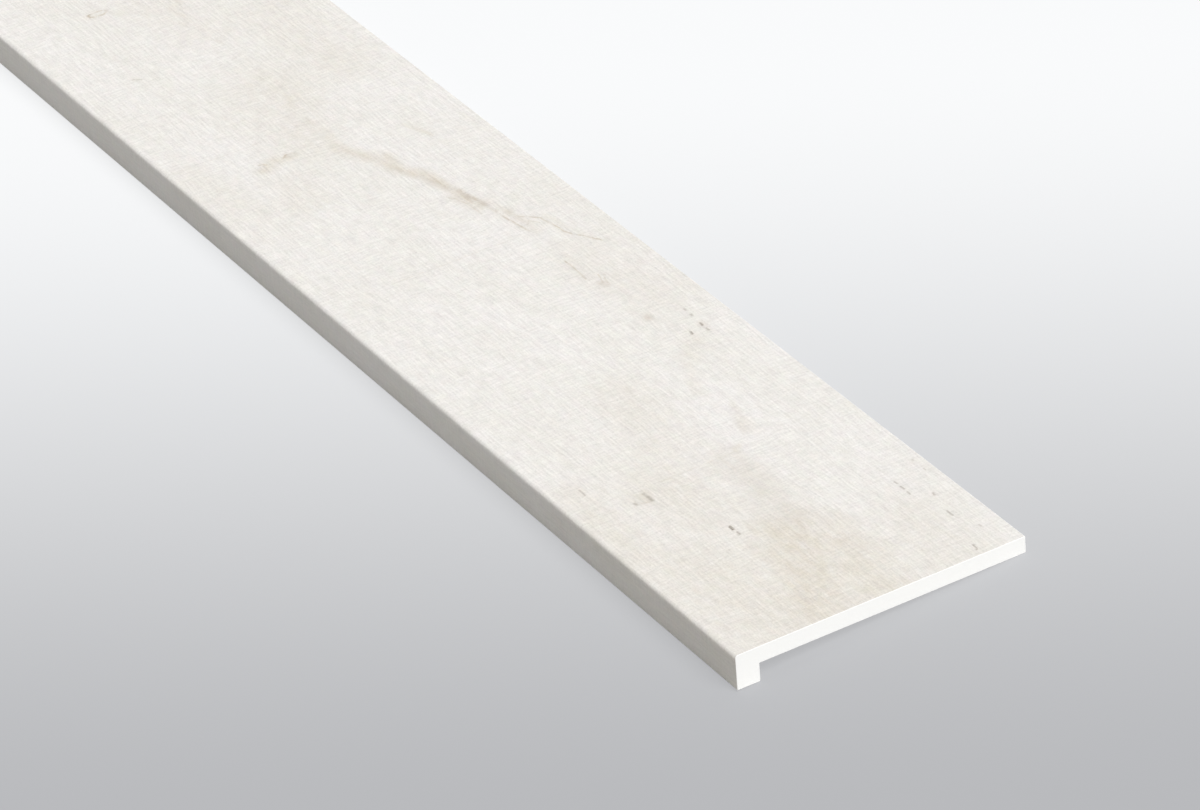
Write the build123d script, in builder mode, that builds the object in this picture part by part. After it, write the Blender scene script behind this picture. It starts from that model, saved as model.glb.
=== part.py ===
"""Vinyl stair tread: one board with a square nose along its front edge, cut from stock.

The section is an L. The board is the going of the step, and the nose hangs down over the front of the
step that it caps. The walking surface wraps round into the nose face on a small radius.

Frame: +X along the tread, +Y from the nose to the back edge, +Z up, origin on the floor under the middle.
The tread lies as it would unheld on a level floor: on the foot of its nose and its rear lower edge, so it
leans back by the small angle that those two lines make.
"""
import os
from math import atan2, cos, sin

from build123d import *

# Driving dimensions, in millimetres
tread_length = 1800.0
tread_width = 320.0       # nose face to back edge
board_thickness = 18.0
nose_height = 38.0        # walking surface to the foot of the nose
nose_depth = 25.0         # nose face to the face that lies against the step
nose_radius = 3.0         # wrap of the walking surface into the nose face

# How the section lies on the floor
nose_drop = nose_height - board_thickness
rest_angle = atan2(nose_drop, tread_width - nose_depth)
lean, level = sin(rest_angle), cos(rest_angle)
footprint = tread_width * level + nose_height * lean
foot_lift = nose_depth * lean
section_plane = Plane(
    origin=(0, -footprint / 2, foot_lift),
    x_dir=(0, level, -lean),
    z_dir=(1, 0, 0),
)

# The L section, from the foot of the nose face round to the walking surface, run out along the tread
with BuildPart() as stair_tread:
    with BuildSketch(section_plane) as section:
        with BuildLine():
            Polyline(
                (0, 0),
                (nose_depth, 0),
                (nose_depth, nose_drop),
                (tread_width, nose_drop),
                (tread_width, nose_height),
                (0, nose_height),
                close=True,
            )
        make_face()
        front_edge = section.vertices().group_by(Axis.Y)[-1].sort_by(Axis.X)[0]
        fillet(front_edge, radius=nose_radius)
    extrude(amount=tread_length / 2, both=True)

stair_tread.part.label = "stair_tread"

os.makedirs("parts", exist_ok=True)
export_step(stair_tread.part, "parts/stair_tread.step")
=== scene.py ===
"""Looks of a vinyl stair tread: one board with a square nose, printed as whitewashed sawn wood.

The tread is one fine mesh in the place of the plain solid. A printed film covers its walking surface, runs
over the wrap and down the nose face. The ends, the back edge and the underside show the white core.

Tread axes, in metres: x along the tread from its middle, y from the nose face to the back edge, and z up
from the walking surface. Film axes: along, from the near end, and across, from the nose face. Across
follows the film over the wrap and down the nose face, where it is negative. The near end is the +X end.
"""
from math import atan2, cos, pi, radians, sin

import bpy
import numpy as np
from mathutils import Matrix, Vector


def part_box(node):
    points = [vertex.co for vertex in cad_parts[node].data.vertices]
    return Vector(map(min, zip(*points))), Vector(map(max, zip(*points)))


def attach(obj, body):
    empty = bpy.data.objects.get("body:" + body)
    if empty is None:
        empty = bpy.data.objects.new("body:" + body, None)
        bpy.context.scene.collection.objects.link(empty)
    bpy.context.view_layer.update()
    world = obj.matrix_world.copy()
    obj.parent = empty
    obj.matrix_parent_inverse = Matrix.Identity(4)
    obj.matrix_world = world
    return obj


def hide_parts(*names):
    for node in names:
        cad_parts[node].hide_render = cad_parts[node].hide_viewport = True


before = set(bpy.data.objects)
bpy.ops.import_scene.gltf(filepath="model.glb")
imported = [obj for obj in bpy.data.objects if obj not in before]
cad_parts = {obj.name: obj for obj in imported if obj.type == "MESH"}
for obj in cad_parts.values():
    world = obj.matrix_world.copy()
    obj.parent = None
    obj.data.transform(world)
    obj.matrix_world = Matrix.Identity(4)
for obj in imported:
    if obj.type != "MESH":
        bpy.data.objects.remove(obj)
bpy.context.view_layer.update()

# Section sizes of the tread, in metres; its length is read from the frame
WIDTH = 0.320
BOARD = 0.018
NOSE_HEIGHT = 0.038
NOSE_DEPTH = 0.025
NOSE_RADIUS = 0.003
EDGE_EASE = 0.0005
END_EASE = 0.0003
tread_low, tread_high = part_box("stair_tread")
LENGTH = tread_high[0] - tread_low[0]

# How the tread lies on the floor: on the foot of its nose and its rear lower edge
LEAN = atan2(NOSE_HEIGHT - BOARD, WIDTH - NOSE_DEPTH)
FOOTPRINT = WIDTH * cos(LEAN) + NOSE_HEIGHT * sin(LEAN)
TREAD_PLACE = (
    Matrix.Translation((0, -FOOTPRINT / 2, NOSE_DEPTH * sin(LEAN)))
    @ Matrix.Rotation(-LEAN, 4, "X")
    @ Matrix.Translation((0, 0, NOSE_HEIGHT))
)

# Mesh of the film: its steps across and along, and round the wrap
COLUMN = 0.0013
STATION = 0.0062
WRAP_STEPS = 8

# Relief of the film, pressed in: depths, the pitch of the brushed grain and the flat margin at its borders
BRUSH_DEPTH = 0.00002
BRUSH_PITCH = (0.130, 0.0042)
HOLLOW_DEPTH = 0.00010
HOLLOW_SPREAD_MM = 2.0
RELIEF_MARGIN = 0.003

# Shading of the wrap: it starts to turn where the wrap does, and comes to its end down the nose face
TURN_START = NOSE_RADIUS
TURN_END = -0.009

# Bake map: the film in two strips, one for each half of its length, and the core and the ends below them
STRIP_FEET = (0.545, 0.085)
STRIP_HEIGHT = 0.45
STRIP_MARGIN = 0.01
CORE_FOOT = 0.040
CORE_HEIGHT = 0.036
CAP_FEET = (0.02, 0.52)
CAP_SIZE = (0.46, 0.032)

# How noise stirs the edges of painted marks: its pitch along and across, and its reach
STAIN_PITCH = (0.034, 0.016)
STAIN_STIR = 0.010
STREAK_PITCH = (0.016, 0.006)
STREAK_STIR = 0.0022

# Stained border of cracks and specks: how much wider it is, and its share
HALO_SPREAD_MM = 7.0
HALO_SHARE = 0.45

# Camera, in tread axes from the near top corner of the nose
CAMERA_PLACE = Vector((4.1285, -2.4261, 3.3214))
CAMERA_VIEW = Vector((-0.736835, 0.411841, -0.536154))
CAMERA_ROLL = radians(4.665)
CAMERA_LENS = 192.82
SENSOR_WIDTH = 36.0
CAMERA_REACH = 500.0


def srgb(red, green, blue):
    """A colour given in the usual 0 to 255, as the linear values that a shader takes."""
    shares = [value / 255 for value in (red, green, blue)]
    linear = [s / 12.92 if s <= 0.04045 else ((s + 0.055) / 1.055) ** 2.4 for s in shares]
    return (*linear, 1.0)


# Floor and light: the floor's painted light falloff, grey near the camera and white away from it, lies
# along a level way that leads away from the camera
FLOOR_HALF = 100.0
FLOOR_AWAY = (-0.778, 0.628, 0)
FLOOR_FALLOFF = (-1.05, 0.30)
FLOOR_GREY = srgb(184, 185, 188)
FLOOR_WHITE = srgb(249, 250, 251)
FLOOR_PALE = srgb(194, 193, 190)
FLOOR_GLOW = 0.8
FLOOR_ROUGHNESS = 0.9
SKY_LIGHT = 0.30
KEY_LIGHT = 2.93
KEY_SPREAD = radians(35)
KEY_FROM = Vector((0.565, 0.18, 0.72))

# Colours of the print and of the core
WASH = srgb(241, 238, 234)
WASH_THIN = srgb(238, 235, 229)
STAIN = srgb(219, 210, 193)
STREAK = srgb(196, 184, 170)
CRACK = srgb(184, 168, 142)
SPECK = srgb(128, 118, 103)
CORE = srgb(252, 252, 251)
CORE_SHADE = srgb(248, 248, 246)

# How strongly lines, tooth and mottling show in the print, the share of lines and tooth on the nose face,
# and how far the lines of the wood and the marks of the saw take turns in bands
GRAIN_TONE = 0.40
SAW_TONE = 0.27
SAW_LINE_TONE = 0.020
TOOTH_TONE = 0.34
MOTTLE_TONE = 0.05
NOSE_TONE = 0.5
BAND_SWING = 1.6

# Waves of noise in each metre, on the axes of the film or, for the core, of the tread, and how far noise
# moves places about
WOOD_WARP_WAVES = (6, 14, 1)
WOOD_WARP_REACH = 0.012
MARK_WARP_WAVES = (90, 130, 1)
MARK_WARP_REACH = 0.004
GRAIN_WAVES = (38, 420, 1)
SAW_WAVES = (340, 52, 1)
TOOTH_WAVES = (420, 520, 1)
SAW_LINE_WAVES = (110, 4, 1)
BAND_WAVES = (9, 17, 1)
CLOUD_WAVES = (7, 17, 1)
PATCH_WAVES = (45, 90, 1)
MOTTLE_WAVES = (75, 115, 1)
CELL_WAVES = (1400, 1400, 1400)
KERF_WAVES = (60, 700, 40)
NOISE_MIDDLE = (0.5, 0.5, 0.5)

# Where noise starts to let each kind of mark show, and where it shows in full
SAW_LINE_RISE = (0.10, 0.24)
CLOUD_RISE = (-0.20, 0.24)
STAIN_RISE = (-0.60, 0.30)
STREAK_RISE = (-0.45, 0.30)
CRACK_RISE = (-0.22, 0.16)
SPECK_RISE = (-0.30, 0.05)
CELL_RISE = (-0.15, 0.30)

# Fine relief in the materials: its depth, its strength, and the share of each kind of noise
EMBOSSING = 0.0003
EMBOSSING_STRENGTH = 0.25
GRAIN_RELIEF = 0.6
SAW_RELIEF = 0.5
TOOTH_RELIEF = 0.4
CORE_RELIEF = 0.0001
CORE_RELIEF_STRENGTH = 0.15
CELL_RELIEF = 0.5
KERF_RELIEF = 1.0

# Gloss: the roughness, how far noise changes it, and the strength of the film's reflections
FILM_ROUGHNESS = 0.55
FILM_ROUGHNESS_SWING = 0.25
CORE_ROUGHNESS = 0.6
CORE_ROUGHNESS_SWING = 0.2
FILM_SHINE = 0.3

# Marks are given in millimetres and drawn in metres
MM_IN_METRE = 1000

# Ring of a small knot, left open on one side, in millimetres along and across the film
RING_MIDDLE = (1438, 106)
RING_HALF_SIZE = (4.5, 11)
RING_TURNS = [pi * step / 5 for step in range(2, 12)]
RING = [
    (RING_MIDDLE[0] + RING_HALF_SIZE[0] * cos(turn), RING_MIDDLE[1] + RING_HALF_SIZE[1] * sin(turn))
    for turn in RING_TURNS
]

# Marks of the print, each a line of (along, across) points and a half width, in millimetres, and a strength
STAINS = [
    ([(0, 60), (130, 60)], 130, 0.42),
    ([(0, 250), (90, 250)], 80, 0.30),
    ([(15, 102), (60, 120), (110, 136), (140, 150)], 68, 0.76),
    ([(10, 165), (100, 172)], 72, 0.62),
    ([(190, 92), (280, 104)], 80, 0.34),
    ([(0, 20), (310, 20)], 60, 0.36),
    ([(160, 160), (260, 170)], 34, 0.12),
    ([(300, 60), (420, 60)], 60, 0.12),
    ([(330, 130), (430, 150)], 70, 0.28),
    ([(310, 210), (352, 229)], 13, 0.28),
    ([(392, 214), (440, 240), (482, 262)], 15, 0.28),
    ([(570, 272), (690, 268)], 66, 0.25),
    ([(410, 155), (442, 156)], 11, 0.36),
    ([(269, 60), (271, 80)], 20, 0.60),
    ([(287, 180), (289, 188)], 6, 0.5),
    ([(625, 246), (690, 240)], 16, 0.18),
    ([(700, 284), (780, 262)], 12, 0.26),
    ([(760, 246), (830, 236)], 18, 0.30),
    ([(830, 232), (945, 200)], 18, 0.70),
    ([(945, 200), (975, 192)], 19, 0.72),
    ([(985, 184), (1028, 172)], 17, 0.55),
    ([(1028, 172), (1090, 166)], 17, 0.42),
    ([(1118, 173), (1162, 173)], 11, 0.42),
    ([(985, 255), (1022, 252)], 5, 0.5),
    ([(960, 86), (990, 96)], 50, 0.28),
    ([(1070, 150), (1180, 172)], 84, 0.30),
    ([(1340, 176), (1430, 160)], 66, 0.28),
    ([(920, 16), (1080, 18)], 45, 0.20),
    ([(1032, 88), (1044, 104), (1043, 122)], 17, 0.66),
    ([(1296, 180), (1306, 176)], 7, 0.34),
    ([(1350, 176), (1380, 180), (1415, 189)], 15, 0.42),
    ([(1405, 143), (1432, 131)], 17, 0.28),
    ([(1180, 262), (1330, 256)], 60, 0.28),
    ([(1560, 240), (1680, 215)], 20, 0.36),
    ([(1600, 90), (1640, 84)], 12, 0.34),
]
STREAKS = [
    ([(165, 166), (280, 172)], 36, 0.27),
    ([(312, 212), (332, 214)], 4, 0.20),
    ([(266, 74), (275, 75)], 9, 0.20),
    ([(541, 246), (547, 248)], 8, 0.55),
    ([(622, 249), (629, 246)], 7, 0.62),
    ([(640, 238), (690, 244)], 12, 0.07),
    ([(799, 246), (809, 246)], 9, 0.42),
    ([(770, 250), (800, 240)], 9, 0.16),
    ([(812, 235), (835, 230)], 5, 0.42),
    ([(831, 231), (850, 227), (870, 225)], 7.5, 0.95),
    ([(868, 224), (882, 217), (905, 211)], 7, 0.40),
    ([(905, 211), (930, 205), (947, 198), (962, 195)], 8, 0.24),
    ([(942, 199), (949, 197)], 6, 0.50),
    ([(962, 204), (974, 192)], 9, 0.16),
    ([(987, 183), (1005, 176), (1026, 173)], 8, 0.12),
    ([(1041, 117), (1047, 122)], 6, 0.22),
    ([(1041, 91), (1046, 88)], 6, 0.12),
    ([(1590, 226), (1650, 221)], 7, 0.32),
]
CRACKS = [
    ([(696, 290), (713, 280), (723, 274), (735, 268)], 2.0, 0.60),
    ([(735, 268), (758, 265), (773, 263), (781, 256), (790, 246)], 2.0, 0.48),
    ([(1040, 112), (1046, 119), (1047, 126)], 2.4, 0.50),
    ([(1041, 94), (1045, 87)], 2.4, 0.42),
    ([(263, 73), (267, 61)], 2.4, 0.24),
    ([(278, 75), (272, 62)], 2.2, 0.14),
    ([(757, 241), (778, 237), (797, 234), (815, 233)], 1.9, 0.50),
    ([(643, 237), (686, 238)], 1.7, 0.46),
    ([(624, 250), (640, 255)], 1.7, 0.40),
    ([(627, 247), (643, 251)], 1.5, 0.34),
    ([(765, 257), (776, 250), (768, 243)], 1.6, 0.28),
    ([(817, 219), (843, 218), (857, 214), (867, 208)], 1.6, 0.32),
    ([(880, 218), (912, 217)], 1.5, 0.22),
    ([(286, 95), (287, 190)], 1.6, 0.16),
    ([(755, 78), (755, 228)], 1.6, 0.18),
    ([(1085, 0), (1085, 130)], 1.6, 0.14),
    ([(1137, 108), (1137, 200)], 1.4, 0.12),
    (RING, 2.3, 0.70),
]
SPECKS = [
    ([(487, 282), (490, 282)], 2.4, 0.46),
    ([(498, 282), (502, 283)], 2.6, 0.68),
    ([(519, 284), (522, 284)], 2.3, 0.40),
    ([(532, 284), (535, 284)], 2.1, 0.34),
    ([(490, 265), (495, 266)], 2.4, 0.64),
    ([(70, 287), (79, 287)], 2.3, 0.46),
    ([(109, 292), (112, 293)], 2.3, 0.46),
    ([(124, 275), (129, 275)], 2.0, 0.44),
    ([(135, 275), (140, 275)], 2.1, 0.48),
    ([(146, 275), (150, 275)], 2.0, 0.44),
    ([(9, 272), (17, 274)], 2.3, 0.48),
    ([(39, 297), (42, 297)], 2.0, 0.34),
    ([(150, 310), (153, 310)], 1.8, 0.30),
    ([(170, 310), (172, 310)], 1.8, 0.30),
    ([(175, 110), (181, 111)], 2.5, 1.0),
    ([(165, 111), (169, 111)], 2.6, 0.58),
    ([(310, 30), (321, 31)], 1.8, 0.34),
    ([(1281, 76), (1286, 68)], 2.0, 0.30),
    ([(264, 77), (271, 77)], 3.6, 0.52),
    ([(271, 77), (278, 76)], 3.0, 0.36),
    ([(266, 60), (269, 60)], 2.8, 0.42),
]


class Graph:
    """A node tree, with short ways to add nodes to it."""

    def __init__(self, tree):
        self.tree = tree

    def put(self, value, socket):
        """Links an output to a socket, or sets a plain value there."""
        if isinstance(value, bpy.types.NodeSocket):
            self.tree.links.new(value, socket)
        else:
            socket.default_value = value

    def node(self, kind, **settings):
        """A new node with its settings."""
        made = self.tree.nodes.new(kind)
        for name, value in settings.items():
            setattr(made, name, value)
        return made

    def math(self, operation, first, second=0.0):
        made = self.node("ShaderNodeMath", operation=operation)
        self.put(first, made.inputs[0])
        self.put(second, made.inputs[1])
        return made.outputs[0]

    def vector(self, operation, first, second=(0, 0, 0), scale=None):
        made = self.node("ShaderNodeVectorMath", operation=operation)
        self.put(first, made.inputs[0])
        if scale is None:
            self.put(second, made.inputs[1])
        else:
            self.put(scale, made.inputs["Scale"])
        by_value = operation in ("DOT_PRODUCT", "LENGTH")
        return made.outputs["Value" if by_value else "Vector"]

    def noise_node(self, place, waves, detail, roughness):
        scaled = self.vector("MULTIPLY", place, waves)
        made = self.node("ShaderNodeTexNoise")
        self.put(scaled, made.inputs["Vector"])
        made.inputs["Scale"].default_value = 1.0
        made.inputs["Detail"].default_value = detail
        made.inputs["Roughness"].default_value = roughness
        return made

    def noise(self, place, waves, detail=2.0, roughness=0.5):
        """Noise about zero, with so many waves a metre along each axis."""
        return self.math("SUBTRACT", self.noise_node(place, waves, detail, roughness).outputs["Fac"], 0.5)

    def warp(self, place, waves, reach):
        """A place moved about by noise, by up to about half of reach."""
        moves = self.noise_node(place, waves, 2.0, 0.5).outputs["Color"]
        about = self.vector("SUBTRACT", moves, NOISE_MIDDLE)
        return self.vector("ADD", place, self.vector("MULTIPLY", about, (reach, reach, 0)))

    def rise(self, value, low, high):
        """0 below low, 1 above high, and smooth between them."""
        made = self.node("ShaderNodeMapRange", interpolation_type="SMOOTHSTEP", clamp=False)
        self.put(value, made.inputs["Value"])
        made.inputs["From Min"].default_value = low
        made.inputs["From Max"].default_value = high
        return made.outputs["Result"]

    def mix(self, share, first, second):
        """The first colour at a share of 0, and the second at 1."""
        made = self.node("ShaderNodeMix", data_type="RGBA")
        self.put(share, made.inputs["Factor"])
        self.put(first, made.inputs[6])
        self.put(second, made.inputs[7])
        return made.outputs[2]

    def weighted(self, *terms):
        """The sum of values, each given with its weight."""
        total = self.math("MULTIPLY", *terms[0])
        for value, weight in terms[1:]:
            total = self.math("ADD", total, self.math("MULTIPLY", value, weight))
        return total

    def bump(self, height, strength, distance):
        made = self.node("ShaderNodeBump")
        made.inputs["Strength"].default_value = strength
        made.inputs["Distance"].default_value = distance
        self.put(height, made.inputs["Height"])
        return made.outputs["Normal"]


def new_material(name):
    material = bpy.data.materials.new(name)
    material.use_nodes = True
    return material, Graph(material.node_tree), material.node_tree.nodes["Principled BSDF"]


def stroke_group():
    """A node group that is 1 on the line from a start along a reach, and falls to 0 at its half width."""
    tree = bpy.data.node_groups.new("stroke", "ShaderNodeTree")
    for name in ("Place", "Start", "Reach"):
        tree.interface.new_socket(name, in_out="INPUT", socket_type="NodeSocketVector")
    tree.interface.new_socket("Half Width", in_out="INPUT", socket_type="NodeSocketFloat")
    tree.interface.new_socket("Share", in_out="OUTPUT", socket_type="NodeSocketFloat")
    graph = Graph(tree)
    given = graph.node("NodeGroupInput").outputs
    reach = given["Reach"]
    from_start = graph.vector("SUBTRACT", given["Place"], given["Start"])
    square = graph.vector("DOT_PRODUCT", reach, reach)
    done = graph.math("DIVIDE", graph.vector("DOT_PRODUCT", from_start, reach), square)
    done = graph.math("MINIMUM", graph.math("MAXIMUM", done, 0.0), 1.0)
    nearest = graph.vector("SCALE", reach, scale=done)
    gap = graph.vector("LENGTH", graph.vector("SUBTRACT", from_start, nearest))
    share = graph.rise(graph.math("DIVIDE", gap, given["Half Width"]), 1.0, 0.0)
    graph.put(share, graph.node("NodeGroupOutput").inputs["Share"])
    return tree


def film_place(point):
    """A point given in millimetres along and across the film, as a vector in metres."""
    return Vector((point[0] / MM_IN_METRE, point[1] / MM_IN_METRE, 0))


def draw(graph, group, place, marks):
    """The greatest share of many marks at a place, worked out by nodes."""
    total = 0.0
    for points, half_width, strength in marks:
        for first, last in zip(points, points[1:]):
            stroke = graph.node("ShaderNodeGroup", node_tree=group)
            graph.put(place, stroke.inputs["Place"])
            stroke.inputs["Start"].default_value = film_place(first)
            stroke.inputs["Reach"].default_value = film_place(last) - film_place(first)
            stroke.inputs["Half Width"].default_value = half_width / MM_IN_METRE
            share = graph.math("MULTIPLY", stroke.outputs["Share"], strength)
            total = graph.math("MAXIMUM", total, share)
    return total


def film_material():
    """The printed film: whitewashed sawn wood, with its marks, tones and embossing."""
    material, graph, shader = new_material("printed_film")
    group = stroke_group()
    stain = graph.node("ShaderNodeAttribute", attribute_name="stain").outputs["Fac"]
    streak = graph.node("ShaderNodeAttribute", attribute_name="streak").outputs["Fac"]
    place = graph.node("ShaderNodeUVMap", uv_map="film").outputs["UV"]
    split = graph.node("ShaderNodeSeparateXYZ")
    graph.put(place, split.inputs[0])
    on_top = graph.rise(split.outputs["Y"], TURN_END, TURN_START)
    wavy = graph.warp(place, WOOD_WARP_WAVES, WOOD_WARP_REACH)

    # Lines of the wood along the tread, marks of the saw across it, and the tooth of the printed wood
    grain = graph.noise(wavy, GRAIN_WAVES, detail=3.0, roughness=0.6)
    saw = graph.noise(wavy, SAW_WAVES, detail=2.0, roughness=0.6)
    tooth = graph.noise(place, TOOTH_WAVES, detail=2.0, roughness=0.6)
    saw_lines = graph.rise(graph.noise(place, SAW_LINE_WAVES, detail=1.0), *SAW_LINE_RISE)
    bands = graph.noise(place, BAND_WAVES, detail=1.0)

    # Whitewash over the wood, thinner in clouds, and broken up over stains and streaks
    clouds = graph.rise(graph.noise(wavy, CLOUD_WAVES, detail=2.0), *CLOUD_RISE)
    wash = graph.mix(clouds, WASH, WASH_THIN)
    patches = graph.noise(wavy, PATCH_WAVES, detail=3.0, roughness=0.65)
    stain_share = graph.math("MULTIPLY", stain, graph.rise(patches, *STAIN_RISE))
    stained = graph.mix(stain_share, wash, STAIN)
    fibres = graph.math("ADD", patches, grain)
    streak_share = graph.math("MULTIPLY", streak, graph.rise(fibres, *STREAK_RISE))
    streaked = graph.mix(streak_share, stained, STREAK)

    # Cracks and specks, too fine for the mesh
    line = graph.warp(place, MARK_WARP_WAVES, MARK_WARP_REACH)
    cracks = graph.math("MULTIPLY", draw(graph, group, line, CRACKS), graph.rise(fibres, *CRACK_RISE))
    cracked = graph.mix(cracks, streaked, CRACK)
    specks = graph.math("MULTIPLY", draw(graph, group, line, SPECKS), graph.rise(tooth, *SPECK_RISE))
    specked = graph.mix(specks, cracked, SPECK)

    # Lines and tooth lighten and darken what is printed, in bands, and less on the nose face
    swing = graph.math("MULTIPLY", bands, BAND_SWING)
    lines = graph.math("MULTIPLY", grain, graph.math("ADD", swing, 1.0))
    hatch = graph.math("MULTIPLY", saw, graph.math("SUBTRACT", 1.0, swing))
    tone = graph.weighted(
        (lines, GRAIN_TONE), (hatch, SAW_TONE), (tooth, TOOTH_TONE), (saw_lines, SAW_LINE_TONE)
    )
    strength = graph.math("ADD", graph.math("MULTIPLY", on_top, 1 - NOSE_TONE), NOSE_TONE)
    lightness = graph.math("ADD", graph.math("MULTIPLY", tone, strength), 1.0)
    toned = graph.vector("SCALE", specked, scale=lightness)

    # Faint mottling in hue
    hues = graph.noise_node(place, MOTTLE_WAVES, 2.0, 0.5).outputs["Color"]
    hues = graph.vector("SCALE", graph.vector("SUBTRACT", hues, NOISE_MIDDLE), scale=MOTTLE_TONE)
    mottled = graph.vector("MULTIPLY", toned, graph.vector("ADD", hues, (1, 1, 1)))
    graph.put(mottled, shader.inputs["Base Color"])

    # Embossing of the grain, the saw marks and the tooth, and gloss that changes with the grain
    height = graph.weighted((grain, GRAIN_RELIEF), (saw, SAW_RELIEF), (tooth, TOOTH_RELIEF))
    graph.put(graph.bump(height, EMBOSSING_STRENGTH, EMBOSSING), shader.inputs["Normal"])
    roughness = graph.math("ADD", graph.math("MULTIPLY", grain, FILM_ROUGHNESS_SWING), FILM_ROUGHNESS)
    graph.put(roughness, shader.inputs["Roughness"])
    shader.inputs["Specular IOR Level"].default_value = FILM_SHINE
    return material


def core_material():
    """The white core, with fine cells and the marks of a saw."""
    material, graph, shader = new_material("white_core")
    place = graph.node("ShaderNodeTexCoord").outputs["Object"]
    cells = graph.noise(place, CELL_WAVES)
    kerf = graph.noise(place, KERF_WAVES)
    colour = graph.mix(graph.rise(cells, *CELL_RISE), CORE, CORE_SHADE)
    graph.put(colour, shader.inputs["Base Color"])
    height = graph.weighted((cells, CELL_RELIEF), (kerf, KERF_RELIEF))
    graph.put(graph.bump(height, CORE_RELIEF_STRENGTH, CORE_RELIEF), shader.inputs["Normal"])
    roughness = graph.math("ADD", graph.math("MULTIPLY", cells, CORE_ROUGHNESS_SWING), CORE_ROUGHNESS)
    graph.put(roughness, shader.inputs["Roughness"])
    return material


def film_columns():
    """Places across the film, from the back edge over the wrap to the foot of the nose."""
    wrap_end = NOSE_RADIUS - NOSE_RADIUS * pi / 2
    foot = wrap_end - (NOSE_HEIGHT - NOSE_RADIUS - EDGE_EASE)
    back = WIDTH - EDGE_EASE
    top_steps = round((back - NOSE_RADIUS) / COLUMN)
    nose_steps = round((wrap_end - foot) / COLUMN)
    return np.concatenate([
        np.linspace(back, NOSE_RADIUS, top_steps, endpoint=False),
        np.linspace(NOSE_RADIUS, wrap_end, WRAP_STEPS, endpoint=False),
        np.linspace(wrap_end, foot, nose_steps + 1),
    ])


def film_section(across):
    """The section's points and outward normals, as (y, z) rows, at places across the film."""
    turn = np.clip((NOSE_RADIUS - across) / NOSE_RADIUS, 0, pi / 2)
    normal = np.stack([-np.sin(turn), np.cos(turn)], axis=1)
    point = NOSE_RADIUS * (normal + (1, -1))
    point[:, 0] += np.maximum(across - NOSE_RADIUS, 0)
    point[:, 1] += np.minimum(across - (NOSE_RADIUS - NOSE_RADIUS * pi / 2), 0)
    return point, normal


def eased(corner, first, last):
    """Three points that round a corner, from the way first to the way last."""
    corner, first, last = np.array(corner), np.array(first), np.array(last)
    middle = 1 - 0.5 ** 0.5
    return [
        corner + EDGE_EASE * first,
        corner + EDGE_EASE * middle * (first + last),
        corner + EDGE_EASE * last,
    ]


def core_section():
    """The section's points from the foot of the nose, under the board and up the back edge."""
    foot_front = eased((0, -NOSE_HEIGHT), (0, 1), (1, 0))
    foot_back = eased((NOSE_DEPTH, -NOSE_HEIGHT), (-1, 0), (0, 1))
    inner = [np.array((NOSE_DEPTH, -BOARD))]
    rear = eased((WIDTH, -BOARD), (-1, 0), (0, 1))
    back_top = eased((WIDTH, 0), (0, -1), (-1, 0))
    return np.array(foot_front[1:] + foot_back + inner + rear + back_top[:-1])


def inset(points, depth):
    """A closed section's points moved inward by depth."""
    step = np.roll(points, -1, axis=0) - points
    step /= np.linalg.norm(step, axis=1, keepdims=True)
    inward = np.stack([-step[:, 1], step[:, 0]], axis=1)
    before = np.roll(inward, 1, axis=0)
    mitre = (inward + before) / (1 + (inward * before).sum(axis=1, keepdims=True))
    return points + depth * mitre


def smooth(share):
    """A share from 0 to 1 that starts and ends gently."""
    share = np.clip(share, 0, 1)
    return share * share * (3 - 2 * share)


def lattice_noise(along, across, pitch, seed):
    """Smooth noise from -1 to 1 at places on the film, from random values on a grid of that pitch."""
    steps_along = along / pitch[0]
    steps_across = (across - across.min()) / pitch[1]
    i = np.floor(steps_along).astype(int)
    j = np.floor(steps_across).astype(int)
    values = np.random.default_rng(seed).uniform(-1, 1, (i.max() + 2, j.max() + 2))
    onward = smooth(steps_along - i)
    sideways = smooth(steps_across - j)
    first = values[i, j] + (values[i + 1, j] - values[i, j]) * onward
    last = values[i, j + 1] + (values[i + 1, j + 1] - values[i, j + 1]) * onward
    return first + (last - first) * sideways


def stirred(along, across, pitch, reach, seed):
    """Places on the film, moved about by noise by up to reach."""
    moved_along = along + reach * lattice_noise(along, across, pitch, seed)
    moved_across = across + reach * lattice_noise(along, across, pitch, seed + 1)
    return moved_along, moved_across


def painted(along, across, marks, spread=0.0):
    """The greatest share of many marks at places on the film, each half width made larger by spread."""
    total = np.zeros_like(along)
    for points, half_width, strength in marks:
        for first, last in zip(points, points[1:]):
            start = np.array(first) / MM_IN_METRE
            reach = np.array(last) / MM_IN_METRE - start
            from_start = (along - start[0], across - start[1])
            done = np.clip((from_start[0] * reach[0] + from_start[1] * reach[1]) / (reach @ reach), 0, 1)
            gap = np.hypot(from_start[0] - done * reach[0], from_start[1] - done * reach[1])
            share = smooth(1 - gap * MM_IN_METRE / (half_width + spread))
            total = np.maximum(total, strength * share)
    return total


def film_relief(along, across):
    """How far the film is pressed in: brushed grain, and hollows at streaks."""
    brushed = 0.5 + 0.5 * lattice_noise(along, across, BRUSH_PITCH, seed=5)
    hollows = painted(along, across, STREAKS, HOLLOW_SPREAD_MM)
    from_ends = np.minimum(along, LENGTH - along)
    from_sides = np.minimum(across.max() - across, across - across.min())
    margin = np.clip(np.minimum(from_ends, from_sides) / RELIEF_MARGIN, 0, 1)
    return (BRUSH_DEPTH * brushed + HOLLOW_DEPTH * hollows) * margin


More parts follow.
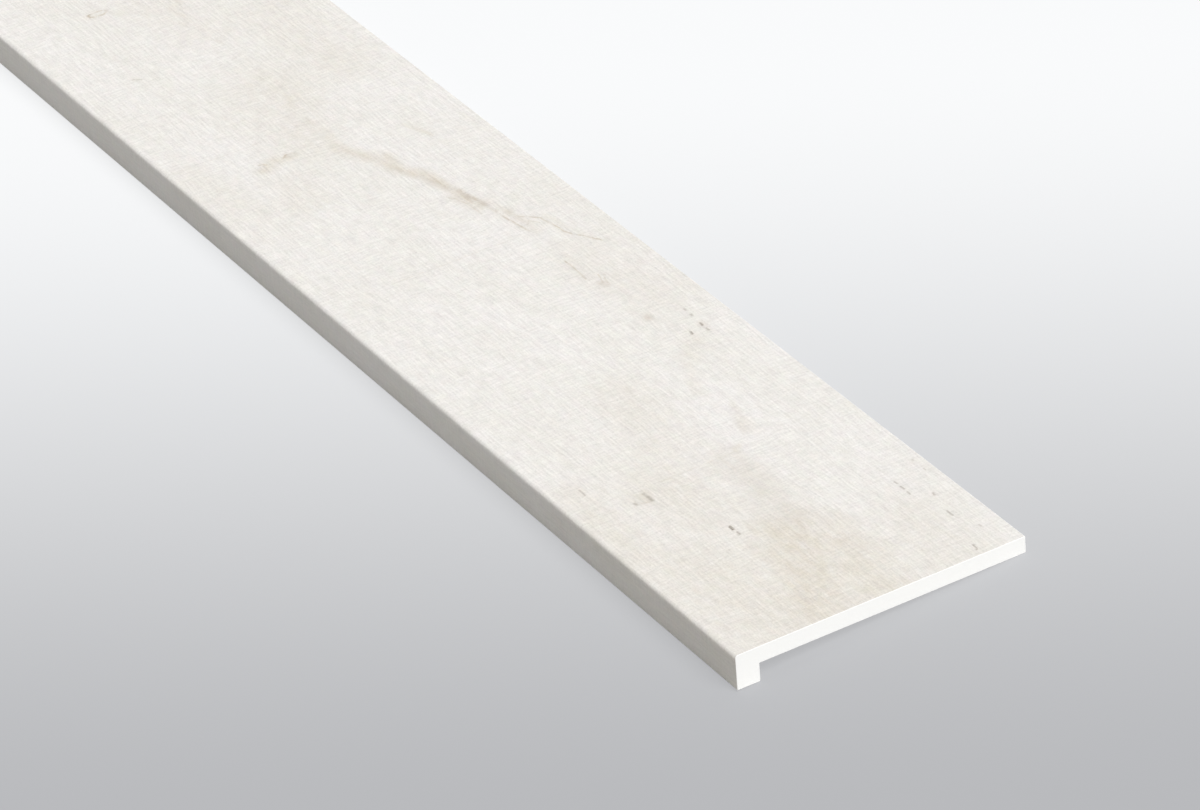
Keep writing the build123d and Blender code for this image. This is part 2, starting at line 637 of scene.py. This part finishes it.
def tread_rings(stations, columns, relief):
    """Rings of points round the section, one at each station, drawn in a little at the two ends."""
    film_points, film_normals = film_section(columns)
    section = np.concatenate([film_points, core_section()])
    rings = np.empty((len(stations), len(section), 3))
    rings[:, :, 0] = stations[:, None]
    rings[:, :, 1:] = section
    rings[[0, -1], :, 1:] = inset(section, END_EASE)
    rings[:, : len(columns), 1:] -= relief[:, :, None] * film_normals
    return rings


def ring_faces(ring_count, point_count):
    """Quads between neighbouring rings, and the two end caps."""
    ring = np.arange(ring_count - 1)[:, None] * point_count
    here = np.arange(point_count)[None, :]
    after = (here + 1) % point_count
    quads = np.stack(
        [ring + here, ring + after, ring + point_count + after, ring + point_count + here], axis=-1
    )
    first_cap = list(range(point_count))[::-1]
    last_cap = list(range(point_count * (ring_count - 1), point_count * ring_count))
    return quads.reshape(-1, 4).tolist(), [first_cap, last_cap]


def corner_points(mesh):
    """The number of the point at each corner of each face."""
    points = np.empty(len(mesh.loops), np.int32)
    mesh.loops.foreach_get("vertex_index", points)
    return points


def add_film_map(mesh, along, across, point_count):
    """A map of places along and across the film, in metres."""
    spread = np.zeros((len(along), point_count, 2))
    spread[:, : across.shape[1], 0] = along
    spread[:, : across.shape[1], 1] = across
    places = spread.reshape(-1, 2)[corner_points(mesh)].astype(np.float32)
    mesh.uv_layers.new(name="film").uv.foreach_set("vector", places.ravel())


def add_bake_map(mesh, along, section, is_film):
    """A map that lays every face flat once, with the most room for the film."""
    edges = np.linalg.norm(np.roll(section, -1, axis=0) - section, axis=1)
    arc = np.concatenate([[0], np.cumsum(edges)])
    film_arc = arc[is_film.any(axis=0).sum()]
    rings, points = is_film.shape
    ring = np.arange(rings)[:, None, None] + np.array([0, 0, 1, 1])
    point = np.arange(points)[None, :, None] + np.array([0, 1, 1, 0])
    far = along[:-1, None, None] >= LENGTH / 2
    on_film = is_film[:, :, None]
    half_way = (along[ring] - far * LENGTH / 2) / (LENGTH / 2)
    u = np.where(on_film, STRIP_MARGIN + (1 - 2 * STRIP_MARGIN) * half_way, along[ring] / LENGTH)
    strip = np.where(far, STRIP_FEET[1], STRIP_FEET[0]) + STRIP_HEIGHT * arc[point] / film_arc
    v = np.where(on_film, strip, CORE_FOOT + CORE_HEIGHT * arc[point] / arc[-1])
    cap = section * (1 / WIDTH, -1 / NOSE_HEIGHT) * CAP_SIZE
    first_cap = (cap + (CAP_FEET[0], 0))[::-1]
    last_cap = cap + (CAP_FEET[1], 0)
    quads = np.stack(np.broadcast_arrays(u, v), axis=-1).reshape(-1, 2)
    places = np.concatenate([quads, first_cap, last_cap]).astype(np.float32)
    mesh.uv_layers.new(name="OFBake").uv.foreach_set("vector", places.ravel())


def add_share(mesh, name, shares, point_count):
    """A share at each point of the film, and 0 on the core, that a material reads by name."""
    values = np.zeros((len(shares), point_count), np.float32)
    values[:, : shares.shape[1]] = shares
    mesh.attributes.new(name, "FLOAT", "POINT").data.foreach_set("value", values.ravel())


def soften_wrap(mesh, columns, ring_count, point_count, on_film):
    """Eases the shading of the film over the wrap, so that it fades out down the nose face."""
    done = np.clip((TURN_START - columns) / (TURN_START - TURN_END), 0, 1)
    turn = pi / 2 * (1 - (1 - done) ** 2)
    within = (done > 0) & (done < 1)
    normals = np.zeros((ring_count, point_count, 3))
    normals[:, : len(columns), 1] = np.where(within, -np.sin(turn), 0)
    normals[:, : len(columns), 2] = np.where(within, np.cos(turn), 0)
    normals = normals.reshape(-1, 3) @ np.array(TREAD_PLACE.to_3x3()).T
    sides = np.empty(len(mesh.polygons), np.int32)
    mesh.polygons.foreach_get("loop_total", sides)
    film_corners = np.repeat(on_film, sides)[:, None]
    mesh.normals_split_custom_set((normals[corner_points(mesh)] * film_corners).tolist())


def make_tread(film, core):
    """The tread as one mesh, with its maps and its painted marks, in the place of the plain solid."""
    half = LENGTH / 2
    inner_steps = round((LENGTH - 2 * END_EASE) / STATION)
    inner = np.linspace(-half + END_EASE, half - END_EASE, inner_steps + 1)
    stations = np.concatenate([[-half], inner, [half]])
    columns = film_columns()
    along, across = np.meshgrid(half - stations, columns, indexing="ij")
    rings = tread_rings(stations, columns, film_relief(along, across))
    point_count = rings.shape[1]
    quads, caps = ring_faces(len(stations), point_count)
    mesh = bpy.data.meshes.new("tread")
    mesh.from_pydata(rings.reshape(-1, 3).tolist(), [], quads + caps)

    is_film = np.zeros((len(stations) - 1, point_count), bool)
    is_film[1:-1, : len(columns) - 1] = True
    on_film = np.concatenate([is_film.ravel(), [False] * len(caps)])
    mesh.materials.append(film)
    mesh.materials.append(core)
    mesh.polygons.foreach_set("material_index", np.where(on_film, 0, 1).astype(np.int32))
    mesh.polygons.foreach_set("use_smooth", on_film)

    add_film_map(mesh, along, across, point_count)
    add_bake_map(mesh, half - stations, rings[1, :, 1:], is_film)
    stains = painted(*stirred(along, across, STAIN_PITCH, STAIN_STIR, seed=1), STAINS)
    halos = HALO_SHARE * painted(along, across, CRACKS + SPECKS, HALO_SPREAD_MM)
    streaks = painted(*stirred(along, across, STREAK_PITCH, STREAK_STIR, seed=3), STREAKS)
    add_share(mesh, "stain", np.maximum(stains, halos), point_count)
    add_share(mesh, "streak", streaks, point_count)

    mesh.transform(TREAD_PLACE)
    mesh.update()
    soften_wrap(mesh, columns, len(stations), point_count, on_film)
    piece = bpy.data.objects.new("tread", mesh)
    bpy.context.scene.collection.objects.link(piece)
    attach(piece, "root")
    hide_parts("stair_tread")


def make_floor():
    """A wide pale floor that lights the tread as one pale tone. The camera sees it glow, with a painted
    light falloff from grey to white, and sees the tread's shadow on it only faintly.
    """
    material, graph, shader = new_material("pale_floor")
    place = graph.node("ShaderNodeNewGeometry").outputs["Position"]
    depth = graph.vector("DOT_PRODUCT", place, FLOOR_AWAY)
    # Painted light falloff: the colour the camera sees goes from grey near the camera to white away from it
    painted_falloff = graph.mix(graph.rise(depth, *FLOOR_FALLOFF), FLOOR_GREY, FLOOR_WHITE)
    path = graph.node("ShaderNodeLightPath").outputs
    seen = graph.math("MAXIMUM", path["Is Camera Ray"], path["Is Glossy Ray"])
    seen = graph.math("MAXIMUM", seen, path["Is Transmission Ray"])
    # The camera sees the floor glow in the painted falloff colour, which lightens the tread's shadow on it
    shaded = graph.vector("SCALE", painted_falloff, scale=1 - FLOOR_GLOW)
    graph.put(graph.mix(seen, FLOOR_PALE, shaded), shader.inputs["Base Color"])
    graph.put(painted_falloff, shader.inputs["Emission Color"])
    graph.put(graph.math("MULTIPLY", seen, FLOOR_GLOW), shader.inputs["Emission Strength"])
    shader.inputs["Roughness"].default_value = FLOOR_ROUGHNESS
    shader.inputs["Specular IOR Level"].default_value = 0.0
    mesh = bpy.data.meshes.new("floor")
    corners = [(-FLOOR_HALF, -FLOOR_HALF, 0), (FLOOR_HALF, -FLOOR_HALF, 0), (FLOOR_HALF, FLOOR_HALF, 0)]
    mesh.from_pydata(corners + [(-FLOOR_HALF, FLOOR_HALF, 0)], [], [(0, 1, 2, 3)])
    mesh.materials.append(material)
    floor = bpy.data.objects.new("floor", mesh)
    bpy.context.scene.collection.objects.link(floor)


def make_light():
    """An even white sky and one soft key light."""
    world = bpy.data.worlds.new("studio")
    world.use_nodes = True
    background = world.node_tree.nodes["Background"]
    background.inputs["Color"].default_value = (1, 1, 1, 1)
    background.inputs["Strength"].default_value = SKY_LIGHT
    bpy.context.scene.world = world
    key = bpy.data.lights.new("key", "SUN")
    key.energy = KEY_LIGHT
    key.angle = KEY_SPREAD
    lamp = bpy.data.objects.new("key", key)
    lamp.rotation_euler = KEY_FROM.to_track_quat("Z", "Y").to_euler()
    bpy.context.scene.collection.objects.link(lamp)


def make_camera():
    """A camera with a long lens, placed from the near top corner of the nose."""
    data = bpy.data.cameras.new("camera")
    data.sensor_fit = "HORIZONTAL"
    data.sensor_width = SENSOR_WIDTH
    data.lens = CAMERA_LENS
    data.clip_end = CAMERA_REACH
    turn = CAMERA_VIEW.to_track_quat("-Z", "Y").to_matrix() @ Matrix.Rotation(-CAMERA_ROLL, 3, "Z")
    near_corner = Vector((LENGTH / 2, 0, 0))
    camera = bpy.data.objects.new("camera", data)
    camera.matrix_world = TREAD_PLACE @ Matrix.Translation(near_corner + CAMERA_PLACE) @ turn.to_4x4()
    bpy.context.scene.collection.objects.link(camera)
    bpy.context.scene.camera = camera


make_tread(film_material(), core_material())
make_floor()
make_light()
make_camera()
bpy.context.scene.view_settings.view_transform = "Standard"
